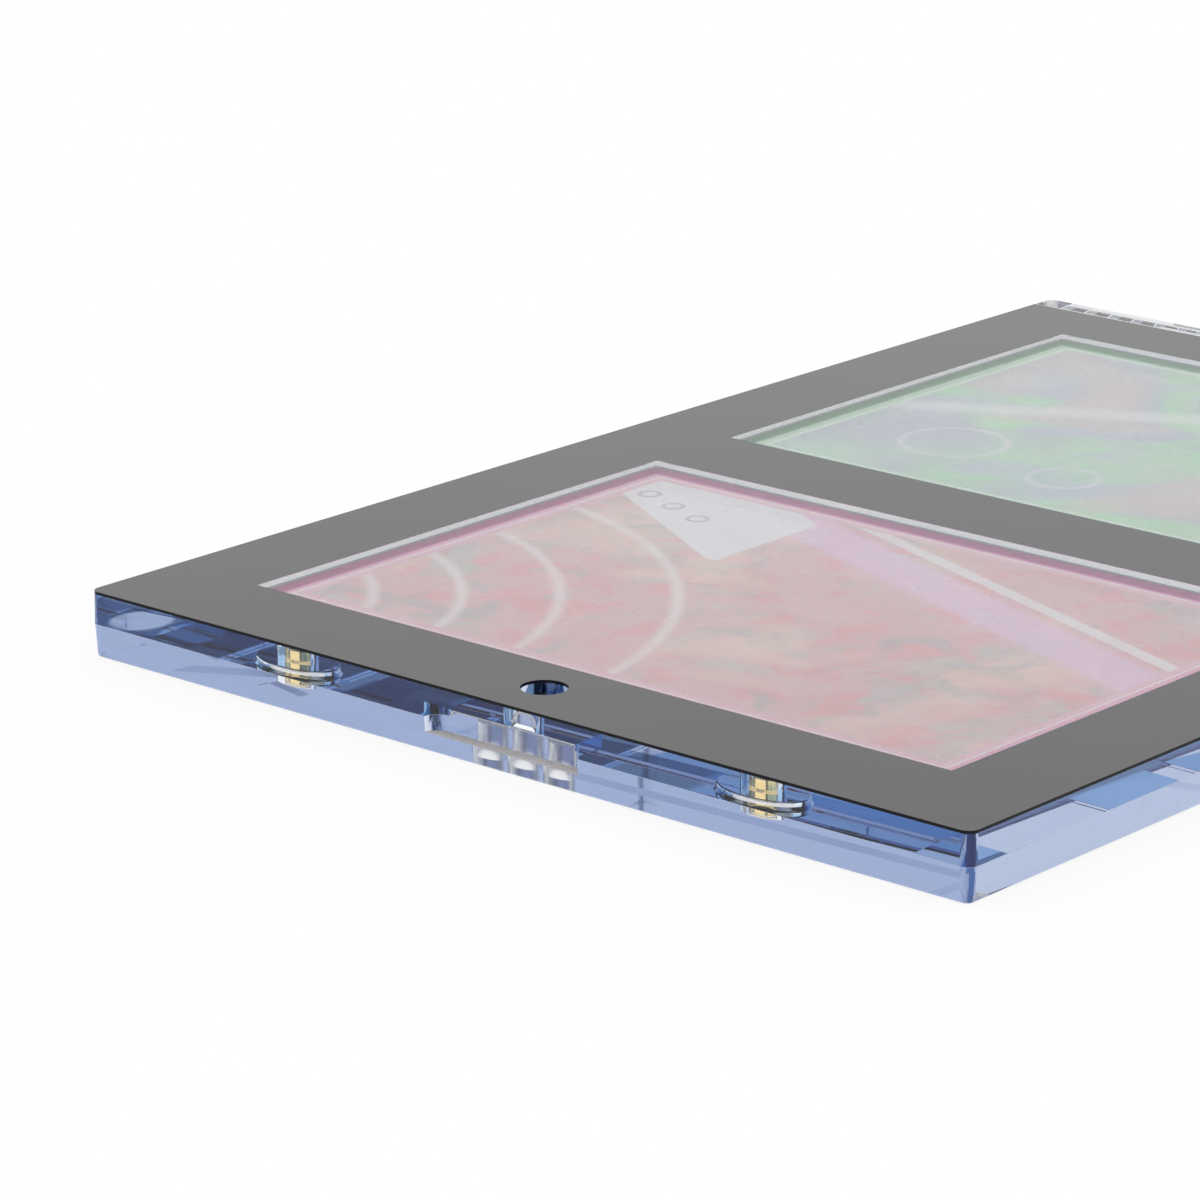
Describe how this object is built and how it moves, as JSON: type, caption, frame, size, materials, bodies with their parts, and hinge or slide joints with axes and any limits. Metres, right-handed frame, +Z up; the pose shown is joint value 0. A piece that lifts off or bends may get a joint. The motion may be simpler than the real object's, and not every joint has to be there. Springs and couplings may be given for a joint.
{
  "type": "trading card display case",
  "caption": "Clear magnetic display case for trading cards, with a black framed lid that hooks under a rear rail and a hanging hole.",
  "frame": {"origin": "middle of the case's underside", "axes": "+X right along the front edge, +Y from the front edge with the hanging hole to the rear rail, +Z up out of the windows"},
  "size_m": [0.1114, 0.1646, 0.0069],
  "materials": {
    "clear_blue_plastic": "clear polished acrylic with a faint blue tint that deepens at the edges",
    "gloss_black_frame": "gloss",
    "pink_card": "printed card, semi-gloss",
    "green_card": "printed card, semi-gloss",
    "gold_plate": "bright gold plating",
    "clear_plug": "clear polished acrylic"
  },
  "bodies": {
    "base": {"base_shell": "clear_blue_plastic", "card_front": "pink_card", "card_rear": "green_card", "base_magnet_left": "gold_plate", "base_magnet_right": "gold_plate", "base_holder_left": "clear_plug", "base_holder_right": "clear_plug"},
    "lid": {"lid_shell": "clear_blue_plastic", "frame_mask": "gloss_black_frame", "lid_magnet_left": "gold_plate", "lid_magnet_right": "gold_plate", "lid_holder_left": "clear_plug", "lid_holder_right": "clear_plug"}
  },
  "joints": [
    {"name": "lid_tilt", "type": "hinge", "parent": "base", "child": "lid", "pos_m": [0, 0.0791, 0.00695], "axis": [-1, 0, 0], "range_deg": [0, 60]}
  ]
}
